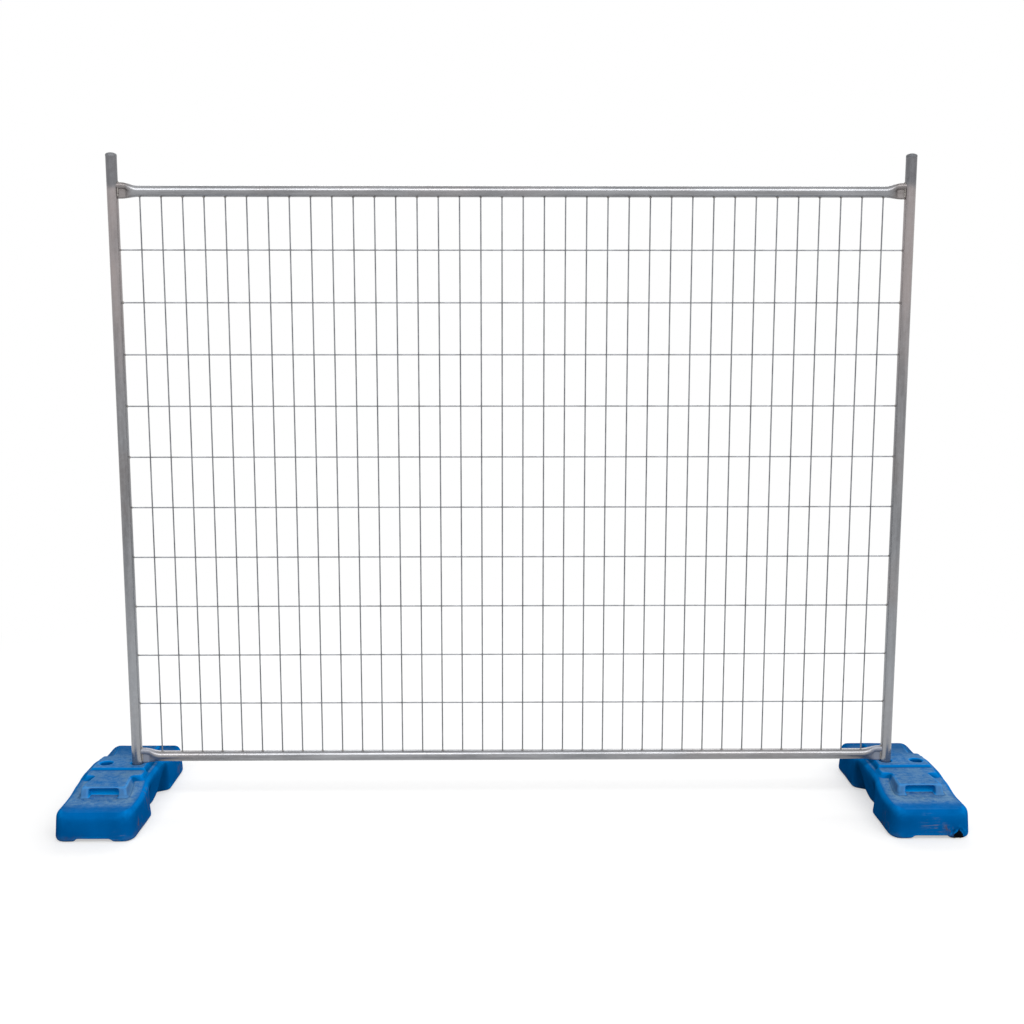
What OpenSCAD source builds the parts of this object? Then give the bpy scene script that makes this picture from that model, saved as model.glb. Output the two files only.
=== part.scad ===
// Temporary fence panel: a wire mesh in a tube frame that stands in two moulded feet.
// Millimetres. The origin is on the ground under the middle of the panel.
// +X runs along the panel, +Y through it and +Z up.

/* [Mesh] */
// Number of upright wires
upright_count = 36; // [12:1:38]
// Distance between upright wires
upright_pitch = 61; // [50:1:75]
// Distance from the outermost upright wire to the axis of the post
upright_margin = 77.5; // [72:0.5:110]
// Number of cross wires
cross_count = 10; // [4:1:10]
// Distance between cross wires
cross_pitch = 150; // [75:1:200]
// Distance from the outermost cross wire to the axis of the rail
cross_margin = 165; // [60:1:220]
// Thickness of the wires
wire_d = 4; // [2.5:0.1:6]

/* [Frame] */
// Outside diameter of the posts and rails
tube_d = 32; // [26:0.5:40]
// Wall of the posts and rails
tube_wall = 1.6; // [1.2:0.1:2.2]
// Height of the post's tip above the axis of the top rail
post_rise = 108; // [60:1:200]
// Height of the post's lower end above the ground
post_foot_gap = 12; // [2:1:40]
// Thickness of a rail's flattened end
rail_end_t = 7.5; // [6:0.5:12]
// Length of a rail's flattened end, from the post's wall
rail_end_flat = 22; // [15:1:40]
// Length over which a rail goes from round to flat
rail_end_blend = 36; // [25:1:60]
// Rise of the flattened end's middle above the axis of the rail
rail_end_rise = 2; // [0:0.5:6]

/* [Post cap] */
// Height of the cap's dome
cap_dome_h = 8; // [5:0.5:12]
// Height of the straight rim under the dome
cap_rim_h = 4; // [2:0.5:8]
// Length of the plug that goes into the post
cap_plug_h = 22; // [12:1:35]
// Wall of the cap's plug
cap_wall = 2; // [1.5:0.1:3]

/* [Foot] */
// Length of the foot, across the panel
foot_l = 610; // [560:5:700]
// Width of the foot over its end lobes
foot_w = 233; // [206:1:250]
// Height of the end lobes
deck_h = 90; // [84:1:96]
// Height of the raised T
bar_h = 122; // [116:1:126]
// How far the shoulders beside the T bar lie below it
shoulder_drop = 7; // [4:0.5:12]
// Height of the platform round the sockets
platform_h = 130; // [127:1:140]
// Wall of the moulded shell
foot_wall = 4; // [3:0.25:5]
// Radius of the lobes' corners, seen from above
lobe_r = 38; // [30:1:50]
// Radius along the top edges of the sides
top_edge_r = 18; // [14:1:21]
// Radius along the top edges of the two ends
end_edge_r = 28; // [18:1:34]
// Radius along the bottom edges
base_edge_r = 12; // [8:1:16]
// How much narrower each side is at the top of the lobes than near the ground
side_draft = 6; // [2:0.5:9]

/* [Foot waist] */
// Distance of each waist groove from the middle of the foot
waist_y = 88; // [80:1:96]
// Depth of the waist groove at the ground
waist_depth = 34; // [20:1:44]
// How far the side between the grooves is drawn in at the ground
waist_middle_in = 26; // [6:1:30]
// Distance over which the groove opens out to the lobe
waist_open = 26; // [18:1:40]
// Height at which the groove has run out
waist_top = 112; // [100:1:115]

/* [Foot handle] */
// Half the length of the platform
platform_y = 42; // [38:1:48]
// Half the width of the platform
platform_x = 79; // [70:1:84]
// Distance of the T bar's outer edge from the middle of the foot
bar_y = 88; // [84:1:104]
// Half the width of the T bar
bar_x = 85; // [68:1:88]
// Distance of the T stem's end from the middle of the foot
stem_y = 188; // [165:1:194]
// Half the width of the T stem at its end
stem_x = 64; // [54:1:68]
// Half the width of the T stem where it leaves the bar
stem_root_x = 56; // [48:1:62]
// Run of the sloped edges round the raised parts
step_run = 6; // [3:0.5:8]
// Distance from the middle at which the shoulders reach the lobes' height
shoulder_y = 196; // [170:1:206]
// Width of the hand pocket in the end of the stem
pocket_w = 88; // [60:1:96]
// Depth of the hand pocket
pocket_depth = 18; // [14:1:52]
// Height of the hand pocket's floor above the lobes
pocket_lip = 2; // [1:0.5:8]
// Thickness of the bridge over the hand pocket
pocket_bridge = 5; // [4:0.5:10]
// Radius of the hand pocket's corners
pocket_r = 5; // [3:0.5:9]
// Length of the sloped cheeks beside the hand pocket
cheek_l = 10; // [8:1:40]
// How far the cheeks start below the top of the stem
cheek_drop = 1.5; // [0.5:0.5:4]
// How far the cheeks stand back from the sides of the hand pocket
cheek_back = 1; // [0.5:0.5:4]

/* [Foot sockets] */
// How much wider a socket is than the post
socket_play = 4; // [1:0.5:6]
// Distance between the two sockets
socket_pitch = 95; // [84:1:104]
// Wall round a socket
socket_wall = 5; // [4:0.5:6]

/* [Foot base] */
// Width of the recess under each end of the foot
recess_w = 98; // [60:1:120]
// Height of the recess
recess_h = 8; // [4:0.5:12]
// Length of the recess, from the end of the foot
recess_l = 110; // [60:1:140]

/* [Filler plug] */
// Diameter of the filler hole
filler_d = 38; // [28:1:42]
// Height of the filler hole's axis above the ground
filler_z = 44; // [38:1:48]
// Diameter of the plug's flange
filler_flange_d = 48; // [44:1:54]
// Thickness of the plug's flange
filler_flange_h = 3; // [2:0.5:5]
// Length of the plug behind the flange
filler_plug_l = 14; // [8:1:20]

/* [Fits] */
// Gap at a welded seat
weld_gap = 0.05; // [0.02:0.01:0.1]
// Gap under the flattened ends of the bottom rail, so that the feet can turn
seat_gap = 0.5; // [0.3:0.1:1.5]
// Gap between the shell and its fill
fill_gap = 0.5; // [0.3:0.1:1]
// Radial gap of the cap's plug and the filler plug
plug_gap = 0.1; // [0.05:0.05:0.3]

/* [Hidden] */
overrun = 2;
steel = "#a9adb3";
wire_steel = "#b9bdc2";
cap_steel = "#8f9398";
foot_blue = "#0a63b0";
fill_grey = "#8d8a84";
plug_blue = "#084a86";

// The flattened end keeps the tube's girth, which gives its height
rail_end_h = (PI * tube_d - (PI - 2) * rail_end_t) / 2;

// Places along the frame
post_r = tube_d / 2;
bore_r = post_r - tube_wall;
post_x = upright_pitch * (upright_count - 1) / 2 + upright_margin;
foot_top = max(platform_h, bar_h);
bottom_rail_z = foot_top + seat_gap + rail_end_h / 2 - rail_end_rise;
first_cross_z = bottom_rail_z + cross_margin;
top_rail_z = first_cross_z + cross_pitch * (cross_count - 1) + cross_margin;
post_tip_z = top_rail_z + post_rise;
post_top_z = post_tip_z - cap_dome_h - cap_rim_h;
wire_r = wire_d / 2;
wire_y = wire_r + weld_gap / 2;
foot_x = post_x + socket_pitch / 2;
socket_d = tube_d + socket_play;

// The round end of the blend sits this far inside the tube and this much under its skin
blend_lap = 1;
blend_nest = 0.02;
blend_sides = 20;
blend_rings = 6;

// The dome is the top of a sphere over the rim
dome_r = (post_r * post_r + cap_dome_h * cap_dome_h) / (2 * cap_dome_h);

// Sizes of the foot that follow from others
foot_half = foot_l / 2;
lobe_half = foot_w / 2;
pocket_floor = deck_h + pocket_lip;
pocket_roof = bar_h - pocket_bridge;
recess_slope = recess_h;
edge_land = 1;
side_shares = [1 / 3, 2 / 3];
hump_share = 2 / 3;
groove_share = 3 / 4;
edge_steps = 5;
base_steps = 3;
inner_edge_steps = 3;
inner_base_steps = 2;
end_steps = 5;

function two_digits(n) = n < 10 ? str("0", n) : str(n);
function upright_name(i) = str("upright_wire_", two_digits(i + 1));
function cross_name(j) = str("cross_wire_", two_digits(j + 1));

// Eases from 0 to 1 as s goes from 0 to 1
function ease(s) = s <= 0 ? 0 : s >= 1 ? 1 : s * s * (3 - 2 * s);
function mix(a, b, s) = a + (b - a) * s;

// The values of a list in rising order, each of them once
function rising(list) =
    len(list) < 2 ? list
    : let (
        pivot = list[floor(len(list) / 2)],
        below = [for (v = list) if (v < pivot) v],
        above = [for (v = list) if (v > pivot) v]
    )
    concat(rising(below), [pivot], rising(above));

// The middle of a ring of points
function ring_middle(ring) =
    [for (axis = [0 : 2]) [for (p = ring) p[axis]] * [for (p = ring) 1] / len(ring)];

// A skin of triangles over rings that all have the same number of points, with a fan over each end
module skin(rings) {
    sides = len(rings[0]);
    last = len(rings) - 1;
    start_at = len(rings) * sides;
    points = concat(
        [for (ring = rings) each ring],
        [ring_middle(rings[0]), ring_middle(rings[last])]
    );
    walls = [
        for (k = [0 : last - 1])
            for (i = [0 : sides - 1])
                let (a = k * sides + i, b = k * sides + (i + 1) % sides)
                    each [[a, b, b + sides], [a, b + sides, a + sides]]
    ];
    ends = [
        for (i = [0 : sides - 1])
            let (j = (i + 1) % sides, top = last * sides)
                each [[start_at, j, i], [start_at + 1, top + i, top + j]]
    ];
    polyhedron(points, concat(walls, ends));
}

// Upright and cross wires

module upright_wire(i) {
    x = upright_pitch * (i - (upright_count - 1) / 2);
    low = bottom_rail_z + post_r + weld_gap;
    high = top_rail_z - post_r - weld_gap;
    color(wire_steel)
        translate([x, -wire_y, low])
            cylinder(h = high - low, r = wire_r, $fn = 24);
}

module cross_wire(j) {
    reach = post_x - post_r - weld_gap;
    color(wire_steel)
        translate([-reach, wire_y, first_cross_z + cross_pitch * j])
            rotate([0, 90, 0])
                cylinder(h = 2 * reach, r = wire_r, $fn = 24);
}

// Posts and their caps

module post(side) {
    color(steel)
        translate([side * post_x, 0, post_foot_gap])
            difference() {
                cylinder(h = post_top_z - post_foot_gap, r = post_r, $fn = 64);
                translate([0, 0, -overrun])
                    cylinder(h = post_top_z - post_foot_gap + 2 * overrun, r = bore_r, $fn = 64);
            }
}

module post_cap(side) {
    plug_r = bore_r - plug_gap;
    color(cap_steel)
        translate([side * post_x, 0, post_top_z + weld_gap]) {
            cylinder(h = cap_rim_h, r = post_r, $fn = 64);
            intersection() {
                translate([0, 0, cap_rim_h + cap_dome_h - dome_r])
                    sphere(r = dome_r, $fn = 96);
                cylinder(h = cap_rim_h + cap_dome_h, r = post_r, $fn = 64);
            }
            translate([0, 0, -cap_plug_h])
                difference() {
                    cylinder(h = cap_plug_h, r = plug_r, $fn = 64);
                    translate([0, 0, -overrun])
                        cylinder(h = cap_plug_h + overrun, r = plug_r - cap_wall, $fn = 64);
                }
        }
}

// Rails: round tube whose ends are pressed flat against the posts

// A point at share s round a flat oval that is 2 * half_h high and 2 * half_t thick
function oval(s, half_h, half_t) =
    let (
        run = half_h - half_t,
        girth = 4 * run + 2 * PI * half_t,
        at = s * girth,
        arc = PI * half_t
    )
    at < run ? [half_t, at]
    : at < run + arc
        ? let (a = (at - run) / half_t * 180 / PI) [half_t * cos(a), run + half_t * sin(a)]
    : at < 3 * run + arc ? [-half_t, 2 * run + arc - at]
    : at < 3 * run + 2 * arc
        ? let (a = 180 + (at - 3 * run - arc) / half_t * 180 / PI) [half_t * cos(a), half_t * sin(a) - run]
    : [half_t, at - girth];

// One section of a rail's end: round at flat = 0 and pressed flat at flat = 1
function rail_ring(x, flat, inset) = [
    for (i = [blend_sides : -1 : 1])
        let (
            s = i / blend_sides,
            r = post_r - inset - blend_nest,
            round_at = [r * cos(360 * s), r * sin(360 * s)],
            oval_at = oval(s, rail_end_h / 2 - inset, rail_end_t / 2 - inset) + [0, rail_end_rise],
            at = mix(round_at, oval_at, flat)
        )
        [x, at[0], at[1]]
];

module rail_end(inset, beyond) {
    flat_x = post_x - post_r - rail_end_flat;
    round_x = flat_x - rail_end_blend;
    skin(concat(
        [rail_ring(round_x - blend_lap, 0, inset)],
        [for (k = [0 : blend_rings])
            rail_ring(mix(round_x, flat_x, k / blend_rings), ease(k / blend_rings), inset)],
        [rail_ring(post_x + beyond, 1, inset)]
    ));
}

module rail_solid(inset, beyond) {
    round_x = post_x - post_r - rail_end_flat - rail_end_blend;
    translate([-round_x, 0, 0])
        rotate([0, 90, 0])
            cylinder(h = 2 * round_x, r = post_r - inset, $fn = 64);
    rail_end(inset, beyond);
    mirror([1, 0, 0])
        rail_end(inset, beyond);
}

module rail(z) {
    color(steel)
        difference() {
            translate([0, 0, z])
                rail_solid(0, 0);
            translate([0, 0, z])
                rail_solid(tube_wall, overrun);
            for (side = [-1, 1])
                translate([side * post_x, 0, z - rail_end_h])
                    cylinder(h = 2 * rail_end_h, r = post_r + weld_gap, $fn = 64);
        }
}

// Foot: a moulded shell whose sections change along its length

// Drop of a rounded edge of radius r at distance d from where it ends
function edge_drop(r, d) = d >= r ? 0 : r - sqrt(r * r - (r - d) * (r - d));

// Height of the shoulders: high beside the platform, easing down to the lobes
function shoulder_h(y) =
    mix(bar_h - shoulder_drop, deck_h, ease((y - platform_y) / (shoulder_y - platform_y)));

// How far the side is drawn in at the ground
function waist_in(y) =
    y < waist_y ? mix(waist_middle_in, waist_depth, ease(y / waist_y))
    : mix(waist_depth, 0, ease((y - waist_y) / waist_open));

// Half the width of the foot at distance y from its middle and height z
function half_width(y, z, inset) =
    lobe_half - inset - side_draft * z / deck_h - waist_in(y) * ease(1 - z / waist_top)
    - edge_drop(lobe_r - inset, foot_half - inset - y);

// Half the width of the T stem, which flares from the bar to its end
function stem_half(y) = mix(stem_root_x, stem_x, ease((y - bar_y) / (stem_y - bar_y)));

// Height of the raised T and the platform at a place on the top
function raised_h(x, y) =
    x <= platform_x && y <= platform_y ? platform_h
    : (x <= bar_x && y <= bar_y) || (x <= stem_half(y) && y <= stem_y) ? bar_h
    : 0;

// Half of one section, from the middle of the base round to the middle of the top
function half_section(y, inset, with_top) =
    let (
        end_gap = foot_half - inset - y,
        base_r = base_edge_r - inset,
        top_r = top_edge_r - inset,
        low = inset + edge_drop(base_r, end_gap),
        high = shoulder_h(y) - inset - edge_drop(end_edge_r - inset, end_gap),
        base_z = low + base_r,
        top_z = high - top_r,
        base_x = half_width(y, base_z, inset) - base_r,
        top_x = half_width(y, top_z, inset) - top_r,
        broad = y <= platform_y ? platform_x : bar_x,
        narrow = min(1, top_x / (broad + step_run + edge_land)),
        breaks = with_top ? [broad, stem_half(y) + step_run, stem_half(y)] : [],
        low_steps = with_top ? base_steps : inner_base_steps,
        high_steps = with_top ? edge_steps : inner_edge_steps
    )
    concat(
        [[0, low]],
        [for (k = [0 : low_steps])
            let (a = 90 * k / low_steps) [base_x + base_r * sin(a), base_z - base_r * cos(a)]],
        [for (share = side_shares)
            let (z = mix(base_z, top_z, share)) [half_width(y, z, inset), z]],
        [for (k = [0 : high_steps])
            let (a = 90 * k / high_steps) [top_x + top_r * cos(a), top_z + top_r * sin(a)]],
        with_top ? [[(broad + step_run) * narrow, high]] : [],
        [for (x = breaks) [x * narrow, max(high, raised_h(x, y))]],
        [[0, max(high, with_top ? raised_h(0, y) : 0)]]
    );

// A whole section: the half and its mirror image
function foot_section(y, side, inset, with_top) =
    let (half = half_section(y, inset, with_top), n = len(half))
    [
        for (i = [0 : n - 1]) [half[i][0], side * y, half[i][1]],
        for (i = [n - 2 : -1 : 1]) [-half[i][0], side * y, half[i][1]]
    ];

// Places along half the foot where a section is needed
function foot_stations(inset) =
    let (waist_end = waist_y + waist_open)
    rising(concat(
        [0, platform_y, platform_y + step_run, mix(platform_y, waist_y, hump_share), waist_y],
        [bar_y, bar_y + step_run, mix(waist_y, waist_end, groove_share), waist_end],
        [for (share = side_shares) mix(waist_end, stem_y, share)],
        [stem_y, stem_y + step_run, shoulder_y + step_run],
        [for (k = [0 : end_steps]) foot_half - inset - (lobe_r - inset) * (1 - sin(90 * k / end_steps))]
    ));

module foot_form(inset, with_top) {
    stations = foot_stations(inset);
    last = len(stations) - 1;
    skin(concat(
        [for (k = [last : -1 : 1]) foot_section(stations[k], -1, inset, with_top)],
        [for (k = [0 : last]) foot_section(stations[k], 1, inset, with_top)]
    ));
}

module sockets(r) {
    for (side = [-1, 1])
        translate([side * socket_pitch / 2, 0, -overrun])
            cylinder(h = foot_top + 2 * overrun, r = r, $fn = 64);
}

// A rectangle with round corners, standing on the X axis
module round_rect(w, h, r) {
    translate([-w / 2 + r, 0])
        square([w - 2 * r, h]);
    translate([-w / 2, r])
        square([w, h - 2 * r]);
    for (x = [-w / 2 + r, w / 2 - r], y = [r, h - r])
        translate([x, y])
            circle(r = r, $fn = 32);
}

// Hand pockets in the ends of the T stems, grown by wall
module pockets(wall) {
    w = pocket_w + 2 * wall;
    h = pocket_roof - pocket_floor + 2 * wall;
    for (side = [0, 180])
        rotate([0, 0, side])
            translate([0, pocket_depth - stem_y + wall, pocket_floor - wall])
                rotate([90, 0, 0])
                    linear_extrude(height = pocket_depth + wall + 2 * step_run)
                        round_rect(w, h, pocket_r + wall);
}

// Cheeks beside the hand pockets, which carry the stem's sides down to the lobes
module pocket_cheeks() {
    top = bar_h - cheek_drop;
    root = deck_h - foot_wall / 2;
    cheek_x = pocket_w / 2 + cheek_back;
    for (side = [0, 180])
        rotate([0, 0, side])
            for (x = [-stem_x, cheek_x])
                translate([x, -stem_y, 0])
                    rotate([90, 0, 90])
                        linear_extrude(height = stem_x - cheek_x)
                            polygon([
                                [overrun, root],
                                [overrun, top],
                                [0, top],
                                [-cheek_l, deck_h],
                                [-cheek_l, root]
                            ]);
}

// Recesses under both ends, grown by wall
module end_recesses(wall) {
    half = recess_w / 2 + wall;
    for (side = [0, 180])
        rotate([0, 0, side])
            translate([0, recess_l - foot_half + wall, 0])
                rotate([90, 0, 0])
                    linear_extrude(height = recess_l + wall + overrun)
                        polygon([
                            [-half - recess_slope - overrun, -overrun],
                            [half + recess_slope + overrun, -overrun],
                            [half, recess_h + wall],
                            [-half, recess_h + wall]
                        ]);
}

module filler_hole(r, depth) {
    translate([0, foot_half + overrun, filler_z])
        rotate([90, 0, 0])
            cylinder(h = depth + overrun, r = r, $fn = 48);
}

module foot_shell(side) {
    color(foot_blue)
        translate([side * foot_x, 0, 0])
            difference() {
                union() {
                    foot_form(0, true);
                    pocket_cheeks();
                }
                difference() {
                    foot_form(foot_wall, false);
                    sockets(socket_d / 2 + socket_wall);
                    pockets(foot_wall);
                    end_recesses(foot_wall);
                }
                sockets(socket_d / 2);
                pockets(0);
                end_recesses(0);
                filler_hole(filler_d / 2, 2 * foot_wall);
            }
}

module foot_fill(side) {
    color(fill_grey)
        translate([side * foot_x, 0, 0])
            difference() {
                foot_form(foot_wall + fill_gap, false);
                sockets(socket_d / 2 + socket_wall + fill_gap);
                pockets(foot_wall + fill_gap);
                end_recesses(foot_wall + fill_gap);
                filler_hole(filler_d / 2 + fill_gap, filler_plug_l + fill_gap);
            }
}

module filler_plug(side) {
    color(plug_blue)
        translate([side * foot_x, foot_half + weld_gap, filler_z])
            rotate([-90, 0, 0]) {
                cylinder(h = filler_flange_h, r = filler_flange_d / 2, $fn = 48);
                translate([0, 0, -filler_plug_l])
                    cylinder(h = filler_plug_l, r = filler_d / 2 - plug_gap, $fn = 48);
            }
}

post(-1);  // left_post
post(1);  // right_post
rail(top_rail_z);  // top_rail
rail(bottom_rail_z);  // bottom_rail
post_cap(-1);  // left_post_cap
post_cap(1);  // right_post_cap
for (i = [0 : upright_count - 1])
    upright_wire(i);
for (j = [0 : cross_count - 1])
    cross_wire(j);
foot_shell(-1);  // left_foot_shell
foot_shell(1);  // right_foot_shell
foot_fill(-1);  // left_foot_fill
foot_fill(1);  // right_foot_fill
filler_plug(-1);  // left_filler_plug
filler_plug(1);  // right_filler_plug
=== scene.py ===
import math

import bmesh
import bpy
import numpy as np
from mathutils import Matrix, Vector, noise
from mathutils.bvhtree import BVHTree


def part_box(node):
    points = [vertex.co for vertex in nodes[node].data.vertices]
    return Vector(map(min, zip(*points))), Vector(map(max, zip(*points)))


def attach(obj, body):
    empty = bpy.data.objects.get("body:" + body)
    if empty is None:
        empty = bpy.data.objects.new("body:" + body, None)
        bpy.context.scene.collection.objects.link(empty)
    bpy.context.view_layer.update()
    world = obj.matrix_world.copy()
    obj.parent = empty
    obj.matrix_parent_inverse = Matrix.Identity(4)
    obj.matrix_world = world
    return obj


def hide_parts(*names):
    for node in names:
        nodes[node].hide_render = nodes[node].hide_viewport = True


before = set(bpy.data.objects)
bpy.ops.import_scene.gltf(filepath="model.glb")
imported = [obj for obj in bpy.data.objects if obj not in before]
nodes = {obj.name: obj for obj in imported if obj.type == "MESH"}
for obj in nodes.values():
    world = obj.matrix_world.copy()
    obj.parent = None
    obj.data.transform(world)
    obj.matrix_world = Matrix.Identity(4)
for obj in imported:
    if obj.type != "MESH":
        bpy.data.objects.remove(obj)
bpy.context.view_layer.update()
scene = bpy.context.scene
sides = {"left": -1, "right": 1}
print("frame loaded:", len(nodes), "nodes")


# sockets and node trees

class Sock:  # a socket that sums and products can be made with
    def __init__(self, graph, socket):
        self.graph = graph
        self.socket = socket

    def __add__(self, other):
        return self.graph.maths("ADD", self, other)

    def __radd__(self, other):
        return self.graph.maths("ADD", other, self)

    def __sub__(self, other):
        return self.graph.maths("SUBTRACT", self, other)

    def __rsub__(self, other):
        return self.graph.maths("SUBTRACT", other, self)

    def __mul__(self, other):
        return self.graph.maths("MULTIPLY", self, other)

    def __rmul__(self, other):
        return self.graph.maths("MULTIPLY", other, self)

    def __truediv__(self, other):
        return self.graph.maths("DIVIDE", self, other)


class Graph:  # a node tree under construction
    def __init__(self, tree):
        self.tree = tree

    def put(self, socket, value):
        if isinstance(value, Sock):
            self.tree.links.new(value.socket, socket)
        else:
            socket.default_value = value

    def add(self, kind, settings=None, sockets=None, out=0):
        node = self.tree.nodes.new(kind)
        for name, value in (settings or {}).items():
            setattr(node, name, value)
        for key, value in (sockets or {}).items():
            self.put(node.inputs[key], value)
        return Sock(self, node.outputs[out])

    def maths(self, operation, *values):
        return self.add("ShaderNodeMath", {"operation": operation}, dict(enumerate(values)))

    def size(self, value):  # without its sign
        return self.maths("ABSOLUTE", value)

    def mixed(self, parts, shares):  # a weighted sum
        first, *rest = [part * share for part, share in zip(parts, shares)]
        return sum(rest, first)

    def seen(self):  # 1 for the rays that show the surround: straight, mirrored or through glass
        rays = [self.add("ShaderNodeLightPath", out=name)
                for name in ("Is Camera Ray", "Is Glossy Ray", "Is Transmission Ray")]
        return self.maths("MINIMUM", rays[0] + rays[1] + rays[2], 1.0)


class Fields(Graph):  # a geometry tree with named inputs
    def __init__(self, name, inputs):
        super().__init__(bpy.data.node_groups.new(name, "GeometryNodeTree"))
        self.tree.interface.new_socket("Geometry", in_out="OUTPUT", socket_type="NodeSocketGeometry")
        for label, kind in inputs.items():
            self.tree.interface.new_socket(label, in_out="INPUT", socket_type="NodeSocket" + kind)
        self.given = self.tree.nodes.new("NodeGroupInput")

    def want(self, label):
        return Sock(self, self.given.outputs[label])

    def give(self, geometry, finish):
        whole = self.add("GeometryNodeRealizeInstances", None, {"Geometry": geometry})
        whole = self.add("GeometryNodeSetShadeSmooth", None, {"Geometry": whole})
        whole = self.add("GeometryNodeSetMaterial", None, {"Geometry": whole, "Material": finish})
        self.put(self.tree.nodes.new("NodeGroupOutput").inputs["Geometry"], whole)

    def grow(self, name, values, base=None):  # runs the tree and keeps the outcome as a plain mesh
        seed = bpy.data.objects.new(name, base or bpy.data.meshes.new(name))
        scene.collection.objects.link(seed)
        maker = seed.modifiers.new(name, "NODES")
        maker.node_group = self.tree
        for item in self.tree.interface.items_tree:
            if item.name in values:
                maker[item.identifier] = values[item.name]
        grown = bpy.data.meshes.new_from_object(seed.evaluated_get(bpy.context.evaluated_depsgraph_get()))
        bpy.data.objects.remove(seed)
        return grown


class Finish(Graph):  # a material and its Principled shader
    def __init__(self, name):
        self.material = bpy.data.materials.new(name)
        self.material.use_nodes = True
        super().__init__(self.material.node_tree)
        self.shader = self.tree.nodes["Principled BSDF"]
        self.place = self.add("ShaderNodeTexCoord", out="Object")

    def set(self, **values):
        for name, value in values.items():
            self.put(self.shader.inputs[name.replace("_", " ")], value)

    def part(self, vector, axis):
        return self.add("ShaderNodeSeparateXYZ", None, {0: vector}, axis)

    def stretched(self, stretch):
        return self.add("ShaderNodeMapping", {"vector_type": "POINT"},
                        {"Vector": self.place, "Scale": stretch})

    def grain(self, scale, detail=4, stretch=(1, 1, 1), rough=0.55):
        place = self.stretched(stretch)
        return self.add("ShaderNodeTexNoise", None,
                        {"Vector": place, "Scale": scale, "Detail": detail, "Roughness": rough}, "Fac")

    def cells(self, scale, stretch=(1, 1, 1)):
        place = self.stretched(stretch)
        colour = self.add("ShaderNodeTexVoronoi", None, {"Vector": place, "Scale": scale}, "Color")
        return self.add("ShaderNodeSeparateColor", None, {0: colour})

    def rise(self, value, low, high):  # 0 below low, 1 above high
        return self.add("ShaderNodeMapRange", {"interpolation_type": "SMOOTHSTEP"},
                        {"Value": value, "From Min": low, "From Max": high})

    def fall(self, value, low, high):
        return 1 - self.rise(value, low, high)

    def thin(self, value, low, high, loss):  # 1 below low, less by the loss above high
        return 1 - self.rise(value, low, high) * loss

    def blend(self, share, first, second):
        return self.add("ShaderNodeMix", {"data_type": "RGBA", "clamp_factor": True},
                        {0: share, 6: first, 7: second}, 2)

    def spot(self, centre, radius, soft):  # 1 at a place on the object, 0 beyond the radius
        away = self.add("ShaderNodeVectorMath", {"operation": "DISTANCE"},
                        {0: self.place, 1: centre}, "Value")
        return self.fall(away, radius * (1 - soft), radius)

    def spots(self, places, soft):
        first, *rest = [self.spot(centre, radius, soft) for centre, radius in places]
        return sum(rest, first)

    def bump(self, height, strength, distance):
        normal = self.add("ShaderNodeBump", None,
                          {"Strength": strength, "Distance": distance, "Height": height})
        self.put(self.shader.inputs["Normal"], normal)


def tone(red, green, blue):  # screen colour to the linear one that sockets take
    shares = [part / 255 for part in (red, green, blue)]
    return tuple(((s + 0.055) / 1.055) ** 2.4 if s > 0.04045 else s / 12.92 for s in shares) + (1,)


# finishes

steelLook = {
    "z": {"tones": (tone(115, 116, 119), tone(140, 141, 144)), "mauveShare": 0.5, "rough": 0.18},  # posts
    "x": {"tones": (tone(126, 127, 130), tone(153, 154, 157)), "mauveShare": 0.3, "rough": 0.26},  # rails, the post zinc made lighter: painted light for the sky and ground light that horizontal tubes catch
    "streaks": 84,
    "streakDrawn": 0.06,  # streaks and spangle are drawn out along the tube
    "clouds": 5,
    "spangle": 150,
    "spangleDrawn": 0.6,
    "cleanMix": (0.6, 0.4),  # streaks, clouds
    "cleanRamp": (0.35, 0.66),
    "mauve": tone(130, 120, 116),
    "mauveGrain": 2.6,
    "mauveRamp": (0.46, 0.66),
    "flake": tone(190, 194, 200),  # the lightest crystals of the spangle
    "flakeRamp": (0.2, 0.9),
    "flakeShare": 0.06,
    "warm": tone(164, 153, 151),  # zinc under the top rail
    "warmShare": (0.45, 0.3),  # everywhere, and more where it is clean
    "warmFrom": (1.1, 1.62),  # heights between which it sets in, and ends again
    "warmTo": (1.835, 1.858),
    "shade": tone(100, 99, 103),  # darker above it
    "shadeShare": 0.6,
    "bright": tone(160, 164, 169),  # lighter lower down
    "brightShare": 0.5,
    "brightBy": (0.3, 0.95),
    "stray": 0.08,  # how far these heights waver
    "heat": tone(112, 100, 94),  # tint where the ends were pressed and welded
    "heatShare": 0.55,
    "heatFrom": (1.075, 1.112),  # distances from the panel's middle
    "heatGrain": 30,
    "heatStray": 0.03,
    "heatRough": 0.16,
    "chalk": tone(150, 155, 166),  # dull zinc on the pressed ends near the ground
    "chalkShare": 0.8,
    "chalkBelow": (0.5, 0.6),
    "chalkMetal": 0.5,
    "metal": 0.82,
    "roughMix": (0.02, 0.008, 0.03),  # clean zinc, spangle, clouds
    "grit": 420,
    "bumpMix": (0.12, 0.3, 0.4),  # spangle, grit, streaks
    "bump": (0.035, 0.0004),  # strength, depth
}


def drawnOut(along, share):
    return tuple(share if axis == along else 1 for axis in "xyz")


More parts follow.
